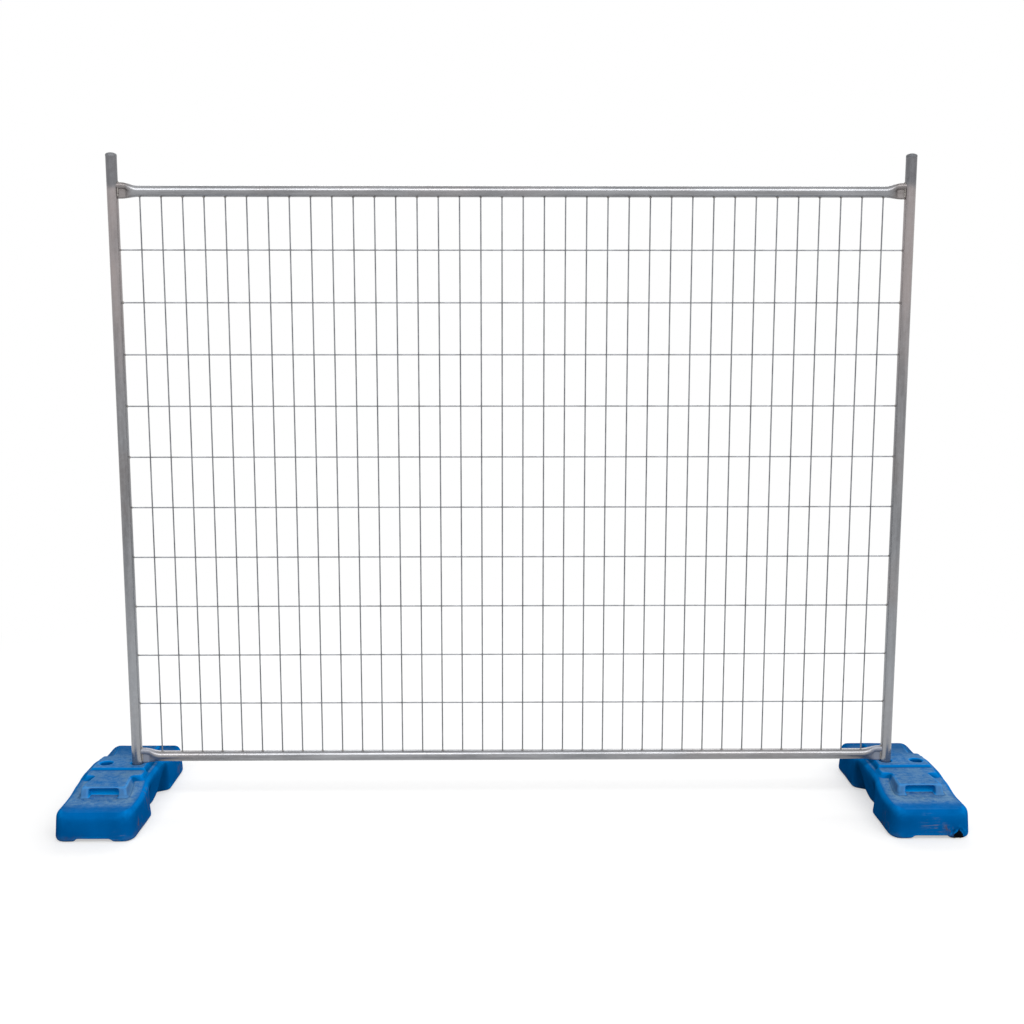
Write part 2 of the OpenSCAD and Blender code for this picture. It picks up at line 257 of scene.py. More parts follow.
def tubeFinish(name, along):  # hot-dipped tube, weathered in streaks along its length
    look, s, own = Finish(name), steelLook, steelLook[along]
    streaks = look.grain(s["streaks"], 5, drawnOut(along, s["streakDrawn"]))
    clouds = look.grain(s["clouds"])
    spangle = look.cells(s["spangle"], drawnOut(along, s["spangleDrawn"]))
    clean = look.rise(look.mixed((streaks, clouds), s["cleanMix"]), *s["cleanRamp"])
    colour = look.blend(clean, *own["tones"])
    mauve = look.rise(look.grain(s["mauveGrain"], 3), *s["mauveRamp"])
    colour = look.blend(mauve * own["mauveShare"], colour, s["mauve"])
    if along == "z":  # a post is warmer in tint under the top rail, darker above it and lighter near the ground
        height = look.part(look.place, 2) + (clouds - 0.5) * s["stray"]
        above = look.rise(height, *s["warmTo"])
        warm = look.rise(height, *s["warmFrom"]) * (1 - above)
        colour = look.blend(warm * (s["warmShare"][0] + clean * s["warmShare"][1]), colour, s["warm"])
        colour = look.blend(above * s["shadeShare"], colour, s["shade"])
        colour = look.blend(look.fall(height, *s["brightBy"]) * s["brightShare"], colour, s["bright"])
    colour = look.blend(look.rise(spangle, *s["flakeRamp"]) * s["flakeShare"], colour, s["flake"])
    rough = own["rough"] + look.mixed((clean, spangle, clouds), s["roughMix"])
    metal = s["metal"]
    if along == "x":  # the pressed ends of a rail are tinted and dull
        reach = look.size(look.part(look.place, 0)) + (look.grain(s["heatGrain"], 3) - 0.5) * s["heatStray"]
        heat = look.rise(reach, *s["heatFrom"])
        colour = look.blend(heat * s["heatShare"], colour, s["heat"])
        chalk = heat * look.fall(look.part(look.place, 2), *s["chalkBelow"])
        colour = look.blend(chalk * s["chalkShare"], colour, s["chalk"])
        rough = rough + heat * s["heatRough"]
        metal = metal - chalk * s["chalkMetal"]
    look.set(Base_Color=colour, Metallic=metal, Roughness=rough)
    look.bump(look.mixed((spangle, look.grain(s["grit"], 3), streaks), s["bumpMix"]), *s["bump"])
    return look.material


blotLooks = {  # two tones in blots; grains are scale and detail, bumps are strength and depth
    "galvanised_upright": {
        "tones": (tone(108, 110, 114), tone(136, 138, 142)), "blots": (22, 4), "ramp": (0.35, 0.65),
        "metal": 0.75, "gloss": 0.5, "rough": 0.36, "roughBlots": (90, 2),
        "grit": (900, 2), "bump": (0.15, 0.0003)},
    # cross wires: the upright wire's zinc made lighter, painted light for the sky light that horizontal wires
    # catch
    "galvanised_cross": {
        "tones": (tone(126, 128, 132), tone(154, 156, 161)), "blots": (22, 4), "ramp": (0.35, 0.65),
        "metal": 0.75, "gloss": 0.5, "rough": 0.36, "roughBlots": (90, 2),
        "grit": (900, 2), "bump": (0.15, 0.0003)},
    "zinc_weld": {
        "tones": (tone(132, 128, 124), tone(164, 160, 156)), "blots": (160, 4), "ramp": (0.3, 0.7),
        "metal": 0.6, "gloss": 0.5, "rough": 0.5, "roughBlots": (160, 4),
        "grit": (600, 3), "bump": (0.35, 0.0006)},
    "cap_steel": {
        "tones": (tone(96, 98, 102), tone(124, 125, 128)), "blots": (60, 5), "ramp": (0.35, 0.68),
        "metal": 0.7, "gloss": 0.5, "rough": 0.46, "roughBlots": (60, 5),
        "grit": (500, 3), "bump": (0.08, 0.0004)},
    "plug_blue": {
        "tones": (tone(0, 74, 134), tone(0, 82, 146)), "blots": (50, 4), "ramp": (0.35, 0.7),
        "metal": 0, "gloss": 0.02, "rough": 0.42, "roughBlots": (50, 4),
        "grit": (300, 3), "bump": (0.1, 0.0004)},
}
roughSpread = 0.2


def blotFinish(name):
    look, own = Finish(name), blotLooks[name]
    colour = look.blend(look.rise(look.grain(*own["blots"]), *own["ramp"]), *own["tones"])
    rough = own["rough"] + look.grain(*own["roughBlots"]) * roughSpread
    look.set(Base_Color=colour, Metallic=own["metal"], Roughness=rough, Specular_IOR_Level=own["gloss"])
    look.bump(look.grain(*own["grit"]), *own["bump"])
    return look.material


mouldLook = {
    "middle": 1.1925,  # of a foot, from the middle of the panel
    "clean": tone(0, 96, 168),
    "deep": tone(0, 78, 140),
    "deepMix": (0.6, 0.25),  # clouds, streaks
    "clouds": 9,
    "cloudRamp": (0.3, 0.7),
    "specks": 70,
    "streaks": 24,
    "streakDrawn": (1, 1, 0.18),
    "edge": tone(4, 122, 200),  # painted highlight along convex edges, partly rubbed wear, and painted light on slopes that face up
    "rubSheenRamp": (0.04, 0.3),
    "rubSheenStray": 0.12,
    "rubSheenShare": 0.75,
    "slopeFrom": (0.2, 0.5),  # by how far a face looks up
    "slopeTo": (0.85, 0.97),
    "litShoulderFrom": (0.03, 0.06),  # above these heights the slopes are painted lighter, as if lit from above
    "litShoulderShare": 0.5,
    "litShoulderLoss": 0.45,  # towards the ends of a foot
    "darkTone": tone(0, 54, 98),  # painted shade in the hollows of the form, also used for the darker rear deck
    "hollowShadeShare": 0.55,
    "hollowRamp": (0.03, 0.22),
    "waistAt": 0.088,  # painted shade gathers in the grooves of the waist
    "waistLong": (0.006, 0.028),
    "waistWide": (0.05, 0.075),
    "waistHigh": (0.07, 0.112),
    "rearUp": (0.6, 0.9),  # the rear deck is darker too
    "rearShare": 0.4,
    "dust": tone(136, 169, 184),
    "dustShare": 0.66,
    "dustUp": (0.9, 0.995),
    "dustEdge": (0.1, 0.6, 0.85),  # dust thins out between the first two, by the third
    "dustWide": (0.082, 0.108, 0.8),  # the same, by distances from a foot's middle
    "dustLong": (0.225, 0.275, 0.9),
    "dustRear": (0.04, 0.16, 0.65),
    "dustHigh": (0.112, 0.124, 0.3),
    "dustStray": 0.04,
    "dustGrain": 300,
    "dustMix": (0.35, 0.4, 0.25),  # clouds, specks, fine grain
    "dustRamp": (0.28, 0.7),
    "hazeWide": (0.07, 0.085),  # thin dust on the walls of the raised T
    "hazeLong": (0.1, 0.125),
    "hazeHigh": (0.084, 0.094),
    "hazeShare": (0.13, 0.28),  # everywhere, and more in specks
    "pocketLight": tone(0, 138, 210),  # painted light in the hand pockets, lifting the shade under their bridge
    "pocketWide": (0.042, 0.047),
    "pocketLong": (0.205, 0.212),
    "pocketHigh": (0.112, 0.118),
    "pocketUp": (0.7, 0.9),
    "mud": tone(92, 74, 64),
    "splashHigh": (0.002, 0.026),
    "splashStray": 0.04,
    "splashRamp": (0.45, 0.65),
    "splashShare": 0.25,
    "scratch": (130, 3, (1, 1, 0.35)),  # scale, detail, stretch
    "scratchRamp": (0.5, 0.62),
    "scuffs": [  # place, reach
        ((-1.084, -0.128, 0.060), 0.052),
        ((-1.080, -0.236, 0.020), 0.046),
        ((1.080, -0.240, 0.024), 0.046),
        ((-1.084, 0.230, 0.018), 0.050),
        ((1.238, -0.303, 0.032), 0.020),
    ],
    "scuffSoft": 0.8,
    "scrape": tone(112, 118, 130),
    "drag": (150, 5, (0.14, 1, 1.5)),
    "dragRamp": (0.46, 0.66),
    "dragSpecks": (0.35, 0.6),
    "scrapes": [
        ((1.222, -0.303, 0.036), 0.026),
        ((1.186, -0.303, 0.050), 0.040),
        ((-1.120, -0.300, 0.014), 0.030),
    ],
    "scrapeSoft": 0.9,
    "markShare": 0.6,
    # painted shade: the torn hole is coloured near-black for the dark inside it
    "tearShade": tone(14, 17, 22),
    "tearAt": ((1.270, -0.300, 0.010), 0.034),
    "tearSlant": 1.5,
    "tearGrain": 120,
    "tearRagged": 0.024,
    "tearEdge": 0.003,
    "tearSpread": 1.2,
    "tearSoft": 0.2,
    "rough": 0.44,
    "roughMix": (0.32, 0.25, 0.08),  # dust, scuffs, specks
    "gloss": 0.0,
    "grit": 260,
    "bumpMix": (0.5, 0.6, 0.2, 0.5),  # grit, dust, scratches, streaks
    "bump": (0.22, 0.0009),
}


def mouldFinish():  # blue moulded shell with dust on top, rubbed edges with a painted highlight, painted light on up-facing slopes and in the hand pockets, painted shade in hollows and in the torn hole, a darker rear deck, scuffs and mud near the ground
    look, m = Finish("moulded_blue"), mouldLook
    up = look.part(look.add("ShaderNodeTexCoord", out="Normal"), 2)
    side, along, height = (look.part(look.place, axis) for axis in range(3))
    across, reach = look.size(look.size(side) - m["middle"]), look.size(along)
    edge = look.add("ShaderNodeAttribute", {"attribute_name": "edge"}, None, "Fac")
    clouds, specks = look.grain(m["clouds"], 5), look.grain(m["specks"])
    streaks = look.grain(m["streaks"], 4, m["streakDrawn"])
    deep = look.mixed((look.rise(clouds, *m["cloudRamp"]), streaks), m["deepMix"])
    colour = look.blend(deep, m["clean"], m["deep"])

    # convex edges are painted lighter: a painted highlight, with some rubbed wear
    rubAndSheen = look.rise(edge + (specks - 0.5) * m["rubSheenStray"], *m["rubSheenRamp"])
    colour = look.blend(rubAndSheen * m["rubSheenShare"], colour, m["edge"])
    # slopes facing partly up are painted lighter, as if lit from above, less so towards the ends of a foot
    slope = look.rise(up, *m["slopeFrom"]) * look.fall(up, *m["slopeTo"])
    litShoulder = slope * look.rise(height, *m["litShoulderFrom"])
    ends = look.rise(reach, *m["dustLong"][:2]) * m["litShoulderLoss"]
    colour = look.blend(litShoulder * (m["litShoulderShare"] - ends), colour, m["edge"])

    # hollows and the grooves of the waist are painted darker: painted shade
    waist = look.rise(across, *m["waistWide"]) * look.fall(height, *m["waistHigh"])
    waist = waist * look.fall(look.size(reach - m["waistAt"]), *m["waistLong"])
    hollow = look.maths("MAXIMUM", look.rise(0 - edge, *m["hollowRamp"]), waist)
    colour = look.blend(hollow * m["hollowShadeShare"], colour, m["darkTone"])
    # the rear deck is made darker, towards the back of each foot
    rear = look.rise(up, *m["rearUp"]) * look.rise(along, *m["dustRear"][:2])
    colour = look.blend(rear * m["rearShare"], colour, m["darkTone"])

    stray = (clouds - 0.5) * m["dustStray"]
    lie = look.rise(up, *m["dustUp"]) * look.thin(edge, *m["dustEdge"])
    lie = lie * look.thin(across + stray, *m["dustWide"]) * look.thin(reach + stray, *m["dustLong"])
    lie = lie * look.thin(along + stray, *m["dustRear"]) * look.thin(height, *m["dustHigh"])
    settled = look.mixed((clouds, specks, look.grain(m["dustGrain"], 3)), m["dustMix"])
    dust = lie * look.rise(settled, *m["dustRamp"])
    colour = look.blend(dust * m["dustShare"], colour, m["dust"])
    haze = look.fall(across, *m["hazeWide"]) * look.rise(0 - along, *m["hazeLong"])
    haze = haze * look.rise(height, *m["hazeHigh"]) * look.fall(up, *m["slopeTo"])
    colour = look.blend(haze * (m["hazeShare"][0] + specks * m["hazeShare"][1]), colour, m["dust"])

    # the hand pockets are painted lighter, against the shade that falls in them
    litPocket = look.fall(across, *m["pocketWide"]) * look.fall(reach, *m["pocketLong"])
    litPocket = litPocket * look.fall(height, *m["pocketHigh"]) * look.fall(up, *m["pocketUp"])
    colour = look.blend(litPocket, colour, m["pocketLight"])
    splash = look.fall(height + (specks - 0.5) * m["splashStray"], *m["splashHigh"])
    colour = look.blend(splash * look.rise(clouds, *m["splashRamp"]) * m["splashShare"], colour, m["mud"])

    scratch = look.rise(look.grain(*m["scratch"]), *m["scratchRamp"])
    scuff = look.spots(m["scuffs"], m["scuffSoft"]) * scratch
    colour = look.blend(scuff * m["markShare"], colour, m["mud"])
    drag = look.rise(look.grain(*m["drag"]), *m["dragRamp"]) * look.rise(specks, *m["dragSpecks"])
    scrape = look.spots(m["scrapes"], m["scrapeSoft"]) * drag
    colour = look.blend(scrape * m["markShare"], colour, m["scrape"])
    # the torn hole is painted near-black: painted shade inside the tear
    tearAt, tearReach = m["tearAt"]
    ragged = (look.grain(m["tearGrain"]) - 0.5) * m["tearRagged"]
    tornShade = tearReach - height - look.size(side - tearAt[0]) * m["tearSlant"] + ragged
    tornShade = look.rise(tornShade, 0, m["tearEdge"]) * look.spot(tearAt, tearReach * m["tearSpread"], m["tearSoft"])
    colour = look.blend(tornShade, colour, m["tearShade"])

    rough = m["rough"] + look.mixed((dust, scuff, specks), m["roughMix"])
    look.set(Base_Color=colour, Roughness=rough, Specular_IOR_Level=m["gloss"])
    look.bump(look.mixed((look.grain(m["grit"]), dust, scratch, streaks), m["bumpMix"]), *m["bump"])
    return look.material


concreteLook = {
    "tones": (tone(112, 110, 105), tone(160, 156, 148)),
    "sand": (240, 5),
    "stone": 90,
    "mix": (0.6, 0.4),  # sand, stone
    "ramp": (0.3, 0.75),
    "rough": (0.85, 0.1),  # everywhere, and more by the sand
    "bumpMix": (1, 0.5),
    "bump": (0.5, 0.002),
}


def concreteFinish():
    look, own = Finish("cast_concrete"), concreteLook
    grains = look.grain(*own["sand"]), look.cells(own["stone"])
    colour = look.blend(look.rise(look.mixed(grains, own["mix"]), *own["ramp"]), *own["tones"])
    look.set(Base_Color=colour, Roughness=own["rough"][0] + grains[0] * own["rough"][1])
    look.bump(look.mixed(grains, own["bumpMix"]), *own["bump"])
    return look.material


postSteel = tubeFinish("galvanised_post", "z")
railSteel = tubeFinish("galvanised_rail", "x")
blotted = {name: blotFinish(name) for name in blotLooks}
weldZinc = blotted["zinc_weld"]
mouldBlue = mouldFinish()
concrete = concreteFinish()
print("finishes made")


def dress(piece, material):
    piece.data.materials.clear()
    piece.data.materials.append(material)


for name, piece in nodes.items():
    if "wire" in name:
        dress(piece, blotted["galvanised_" + name.split("_")[0]])
    elif name.endswith("_fill"):
        dress(piece, concrete)


def addPiece(name, mesh, material, body, node=None):
    piece = bpy.data.objects.new(name, mesh)
    scene.collection.objects.link(piece)
    dress(piece, material)
    mesh.polygons.foreach_set("use_smooth", [True] * len(mesh.polygons))
    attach(piece, body)
    if node:
        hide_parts(node)


# tubes of the frame

tubeLook = {
    "radius": 0.016,
    "bore": 0.0144,
    "points": 56,  # round a tube
    "stride": 0.012,  # from ring to ring
    "wave": 0.00006,  # unevenness that the zinc leaves
    "waveSize": 0.05,
    "seam": 0.0003,  # height of the welded seam along the back
    "endThick": 0.00375,  # half the thickness of a pressed end
    "endHigh": 0.02299,  # half its height
    "endBead": 0.0095,  # radius that stays along its upper edge
    "endRise": 0.002,
    "endStride": 0.003,
    "narrowFrom": 0.008,  # distances from the post's wall
    "creaseAt": 0.021,
    "roundFrom": 0.058,
    "hollow": 0.0005,  # how far the pressed faces sink in the middle
    "boreShown": 0.09,  # length of bore drawn at the open lower end of a post
    "crisp": 40,  # degrees, edges sharper than this stay sharp
}
postX = (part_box("right_post")[0].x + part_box("right_post")[1].x) / 2
railZ = {
    "bottom_rail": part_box("upright_wire_01")[0].z - tubeLook["radius"],
    "top_rail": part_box("upright_wire_01")[1].z + tubeLook["radius"],
}


def ease(share):
    share = min(max(share, 0), 1)
    return share * share * (3 - 2 * share)


def spaced(start, end, stride):
    count = max(1, round((end - start) / stride))
    return [start + (end - start) * k / count for k in range(count + 1)]


def loft(name, rings):  # a closed skin over rings of points
    count = len(rings[0])
    last = (len(rings) - 1) * count
    faces = [(k + i, k + (i + 1) % count, k + count + (i + 1) % count, k + count + i)
             for k in range(0, last, count) for i in range(count)]
    faces += [tuple(range(count - 1, -1, -1)), tuple(range(last, last + count))]
    mesh = bpy.data.meshes.new(name)
    mesh.from_pydata([p for ring in rings for p in ring], [], faces)
    mesh.set_sharp_from_angle(angle=math.radians(tubeLook["crisp"]))
    return mesh


def uneven(place):
    return noise.noise(Vector(place) / tubeLook["waveSize"]) * tubeLook["wave"]


def postRing(sign, z, radius, back):
    ring = []
    for i in range(tubeLook["points"]):
        turn = 2 * math.pi * i / tubeLook["points"] + math.pi / 2
        out = Vector((math.cos(turn), math.sin(turn), 0))
        reach = radius + uneven(out * radius + Vector((sign, 0, z))) + (back if i == 0 else 0)
        ring.append(out * reach + Vector((sign * postX, 0, z)))
    return ring


def makePost(side):
    look, sign = tubeLook, sides[side]
    low, high = (corner.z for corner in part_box(side + "_post"))
    rings = [postRing(sign, z, look["bore"], 0) for z in (low + look["boreShown"], low)]
    rings += [postRing(sign, z, look["radius"], look["seam"]) for z in spaced(low, high, look["stride"])]
    mesh = loft(side + "_post_tube", rings)
    addPiece(side + "_post_tube", mesh, postSteel, "panel", side + "_post")


# round a flat oval of this half height and half thickness, from the middle of its back
def ovalPoint(share, high, thick):
    run = high - thick
    arc = math.pi * thick
    at = share % 1 * (4 * run + 2 * arc)
    if at < run:
        return thick, at
    if at < run + arc:
        turn = (at - run) / thick
        return thick * math.cos(turn), run + thick * math.sin(turn)
    if at < 3 * run + arc:
        return -thick, 2 * run + arc - at
    if at < 3 * run + 2 * arc:
        turn = math.pi + (at - 3 * run - arc) / thick
        return thick * math.cos(turn), thick * math.sin(turn) - run
    return thick, at - 4 * run - 2 * arc


def onPost(y):  # distance from the panel's middle to the skin of the post
    return postX - math.sqrt(tubeLook["radius"] ** 2 - y * y)


def railRing(x, axisZ):  # round in the run of the rail, pressed flat at its ends
    look = tubeLook
    away = onPost(0) - abs(x)
    tall = 1 - ease((away - look["narrowFrom"]) / (look["roundFrom"] - look["narrowFrom"]))
    flat = (1 - min(max((away - look["creaseAt"]) / (look["roundFrom"] - look["creaseAt"]), 0), 1)) ** 2
    high = look["radius"] + (look["endHigh"] - look["radius"]) * tall
    thick = look["radius"] + (look["endThick"] - look["radius"]) * flat
    bead = look["radius"] + (look["endBead"] - look["radius"]) * flat
    ring = []
    for i in range(look["points"]):
        y, z = ovalPoint(i / look["points"], high, thick)
        swell = math.sqrt(max(0, bead ** 2 - (z - high + bead) ** 2))
        crisp, smooth = max(abs(y), swell), (y ** 4 + swell ** 4) ** 0.25
        y = math.copysign(crisp + (smooth - crisp) * flat, y)
        sink = look["hollow"] * flat * max(0, 1 - (z / look["endHigh"]) ** 2)
        grow = 1 + (uneven((x, y, z + axisZ)) + (look["seam"] if i == 0 else 0) * (1 - flat)) / look["radius"]
        y = (y - math.copysign(sink, y)) * grow
        end = away < look["endStride"] / 2
        ring.append((math.copysign(onPost(y), x) if end else x, y, z * grow + axisZ + look["endRise"] * tall))
    return ring


def makeRail(name):
    look = tubeLook
    aways = spaced(0, look["creaseAt"], look["endStride"])
    aways += spaced(look["creaseAt"], look["roundFrom"], look["endStride"])[1:]
    ends = [onPost(0) - away for away in aways]
    places = [-x for x in ends] + spaced(-ends[-1], ends[-1], look["stride"])[1:-1] + ends[::-1]
    mesh = loft(name + "_tube", [railRing(x, railZ[name]) for x in places])
    addPiece(name + "_tube", mesh, railSteel, "panel", name)


for side in sides:
    makePost(side)
for name in railZ:
    makeRail(name)
print("tubes made")


# caps on the posts and plugs in the feet

turnLook = {  # profiles are radii and distances along the axis, in millimetres
    "points": 48,
    "cap": [
        (14.6, 0.05), (16.0, 0.05), (16.0, 0.6), (16.0, 4.6), (15.85, 5.8), (15.4, 6.9), (14.6, 7.9),
        (13.2, 8.9), (11.5, 9.75), (9.3, 10.6), (6.8, 11.25), (4.0, 11.7), (1.6, 11.93), (0.3, 11.99)],
    "plug": [
        (18.8, -8.0), (18.8, 0.05), (23.2, 0.05), (23.8, 0.5), (24.0, 1.0), (24.0, 2.0), (23.7, 2.6),
        (23.1, 2.95), (20.8, 3.0), (20.2, 2.8), (19.4, 2.0), (18.7, 1.5), (12.2, 1.3), (11.6, 1.5),
        (10.4, 2.2), (9.6, 2.35), (7.4, 2.35), (6.8, 2.1), (6.2, 1.2), (0.4, 1.1)],
}


def turned(name, profile, place, axis):  # a skin round an axis
    turns = [2 * math.pi * i / turnLook["points"] for i in range(turnLook["points"])]
    x, y, z = place
    rings = []
    for radius, along in turnLook[profile]:
        radius, along = radius / 1000, along / 1000
        if axis == "z":
            rings.append([(x + radius * math.cos(t), y + radius * math.sin(t), z + along) for t in turns])
        else:
            rings.append([(x + radius * math.sin(t), y + along, z + radius * math.cos(t)) for t in turns])
    return loft(name, rings)


for side, sign in sides.items():
    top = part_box(side + "_post")[1].z
    dome = turned(side + "_cap_dome", "cap", (sign * postX, 0, top), "z")
    addPiece(side + "_cap_dome", dome, blotted["cap_steel"], "panel", side + "_post_cap")
    low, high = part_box(side + "_filler_plug")
    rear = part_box(side + "_foot_shell")[1].y
    middle = (low + high) / 2
    bung = turned(side + "_filler_bung", "plug", (middle.x, rear, middle.z), "y")
    addPiece(side + "_filler_bung", bung, blotted["plug_blue"], side + "_foot", side + "_filler_plug")
print("caps and plugs made")


# welds

weldLook = {
    "crossing": (0.0027, 0.0018, 0.0027),  # radii of the spots
    "uprightEnd": (0.0036, 0.0036, 0.0023),
    "crossEnd": (0.0023, 0.0036, 0.0036),
    "spread": 0.22,  # how much their sizes differ
    "rounding": 2,  # subdivisions of a spot
    "beadThick": 0.0021,
    "beadRipple": 0.16,
    "beadPitch": 0.0042,  # from ripple to ripple
    "beadSteps": 5,  # rings in a ripple
    "beadPoints": 10,  # round the bead
    "beadGrain": 300.0,
    "beadBlot": 0.7,
    "beadReach": 0.9,  # share of the pressed end's flat sides that the bead runs down
    "beadStand": 0.0006,
}


def weldGrid():  # spots of zinc at the points of an upright grid
    kinds = {"Columns": "Int", "Rows": "Int", "Width": "Float", "Height": "Float", "Middle": "Vector",
             "Size": "Vector", "Spread": "Float", "Seed": "Int", "Finish": "Material"}
    tree = Fields("weld_grid", kinds)
    grid = tree.add("GeometryNodeMeshGrid", None,
                    {"Size X": tree.want("Width"), "Size Y": tree.want("Height"),
                     "Vertices X": tree.want("Columns"), "Vertices Y": tree.want("Rows")})
    grid = tree.add("GeometryNodeTransform", None,
                    {"Geometry": grid, "Translation": tree.want("Middle"), "Rotation": (math.pi / 2, 0, 0)})
    swell = tree.add("FunctionNodeRandomValue", {"data_type": "FLOAT"},
                     {2: 1 - tree.want("Spread"), 3: 1 + tree.want("Spread"), "Seed": tree.want("Seed")}, 1)
    size = tree.add("ShaderNodeVectorMath", {"operation": "SCALE"}, {0: tree.want("Size"), "Scale": swell})
    spot = tree.add("GeometryNodeMeshIcoSphere", None, {"Radius": 1.0, "Subdivisions": weldLook["rounding"]})
    spots = tree.add("GeometryNodeInstanceOnPoints", None, {"Points": grid, "Instance": spot, "Scale": size})
    tree.give(spots, tree.want("Finish"))
    return tree


def weldBead():  # a rippled bead along a line
    kinds = {"Line": "Geometry", "Thick": "Float", "Ripple": "Float", "Pitch": "Float", "Finish": "Material"}
    tree = Fields("weld_bead", kinds)
    line = tree.add("GeometryNodeMeshToCurve", None, {"Mesh": tree.want("Line")})
    step = tree.want("Pitch") / weldLook["beadSteps"]
    line = tree.add("GeometryNodeResampleCurve", {"mode": "LENGTH"}, {"Curve": line, "Length": step})
    along = tree.add("GeometryNodeSplineParameter", None, None, "Length")
    wave = tree.maths("SINE", along / tree.want("Pitch") * math.tau)
    blot = tree.add("ShaderNodeTexNoise", None, {"Scale": weldLook["beadGrain"]}, "Fac")
    thick = tree.want("Thick") * (1 + wave * tree.want("Ripple") + (blot - 0.5) * weldLook["beadBlot"])
    ring = tree.add("GeometryNodeCurvePrimitiveCircle", {"mode": "RADIUS"},
                    {"Resolution": weldLook["beadPoints"], "Radius": 1.0})
    bead = tree.add("GeometryNodeCurveToMesh", None,
                    {"Curve": line, "Profile Curve": ring, "Scale": thick, "Fill Caps": True})
    tree.give(bead, tree.want("Finish"))
    return tree


def beadLines():  # from the back of each pressed end over its top and down its front
    look = tubeLook
    stand = weldLook["beadStand"]
    high, thick = look["endHigh"] + stand, look["endThick"] + stand
    run, arc = high - thick, math.pi * thick
    girth = 4 * run + 2 * arc
    down = weldLook["beadReach"] * run
    stops = spaced(-down, 2 * run + arc + down, look["endStride"])
    points, edges = [], []
    for axisZ in railZ.values():
        for sign in sides.values():
            start = len(points)
            for at in stops:
                y, z = ovalPoint(at / girth, high, thick)
                points.append((sign * (onPost(y) - stand), y, z + axisZ + look["endRise"]))
            edges += [(k, k + 1) for k in range(start, len(points) - 1)]
    mesh = bpy.data.meshes.new("bead_lines")
    mesh.from_pydata(points, edges, [])
    return mesh


def makeWelds():
    first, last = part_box("upright_wire_01"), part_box("upright_wire_36")
    low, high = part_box("cross_wire_01"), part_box("cross_wire_10")
    uprights = sum(name.startswith("upright") for name in nodes)
    crosses = sum(name.startswith("cross") for name in nodes)
    span = (last[0].x - first[0].x, high[0].z - low[0].z)
    middle = (first[0].z + first[1].z) / 2
    grids = {  # columns, rows, width, height, depth in the panel
        "crossing": (uprights, crosses, *span, 0),
        "uprightEnd": (uprights, 2, span[0], first[1].z - first[0].z, (first[0].y + first[1].y) / 2),
        "crossEnd": (2, crosses, low[1].x - low[0].x, span[1], (low[0].y + low[1].y) / 2),
    }
    tree = weldGrid()
    for seed, (kind, (columns, rows, width, height, depth)) in enumerate(grids.items()):
        values = {"Columns": columns, "Rows": rows, "Width": width, "Height": height,
                  "Middle": (0, depth, middle), "Size": weldLook[kind], "Spread": weldLook["spread"],
                  "Seed": seed, "Finish": weldZinc}
        addPiece(kind + "_welds", tree.grow(kind + "_welds", values), weldZinc, "panel")
    values = {"Thick": weldLook["beadThick"], "Ripple": weldLook["beadRipple"],
              "Pitch": weldLook["beadPitch"], "Finish": weldZinc}
    beads = weldBead().grow("rail_end_welds", values, beadLines())
    addPiece("rail_end_welds", beads, weldZinc, "panel")


makeWelds()
print("welds made")


# feet

footLook = {
    "mergeGap": 1e-5,
    "liningGap": 0.0009,  # faces nearer than this to the fill line the hollow
    "voxel": 0.0028,  # grid of the remeshed skin
    "evening": 0.5,  # share of the way to its neighbours that a point moves in a pass
    "softPasses": 8,
    "rollPasses": 34,  # more of them at the sides and the ends, where the edges are rolled over
    "rollWide": (0.092, 0.112),  # distances from a foot's middle between which they set in
    "rollHigh": (0.012, 0.03, 0.045, 0.075),  # heights between which they set in, and end again
    "socketAway": 0.0475,  # from a foot's middle to the axis of a socket
    "socketRadius": 0.018,
    "socketKeep": (0.019, 0.034),  # distances from that axis between which rolling and waves set in
    "waveFrom": 0.001,  # the base stays flat below this height
    "waveHeight": 0.0011,  # slow waves that the mould leaves in flat faces
    "waveSize": 0.075,
    "edgeGain": 5.2,
    "edgePasses": 4,
    "tearDepth": 0.006,
    "tearMean": 0.6,
    "tearSize": 0.007,
    "recessSink": 0.0025,  # the ceiling of the recess under each end stands this much higher
    "recessWide": (0.044, 0.054),
    "recessLong": (0.190, 0.205),
    "recessTop": 0.016,
}


def mergedCopy(name):
    shape = bmesh.new()
    shape.from_mesh(nodes[name].data)
    bmesh.ops.remove_doubles(shape, verts=shape.verts, dist=footLook["mergeGap"])
    return shape


def splitShell(side):  # the outer skin and the walls of the hollow, both closed at the filler hole
    outer = mergedCopy(side + "_foot_shell")
    fill = BVHTree.FromBMesh(mergedCopy(side + "_foot_fill"))
    lining = [f for f in outer.faces
              if fill.find_nearest(f.calc_center_median())[3] < footLook["liningGap"]]
    hollow = outer.copy()
    keep = {f.index for f in lining}
    hollow.faces.ensure_lookup_table()
    bmesh.ops.delete(hollow, geom=[f for f in hollow.faces if f.index not in keep], context="FACES")
    bmesh.ops.delete(outer, geom=lining, context="FACES")
    for skin in (outer, hollow):
        bmesh.ops.holes_fill(skin, edges=[e for e in skin.edges if e.is_boundary], sides=0)
    return outer, hollow


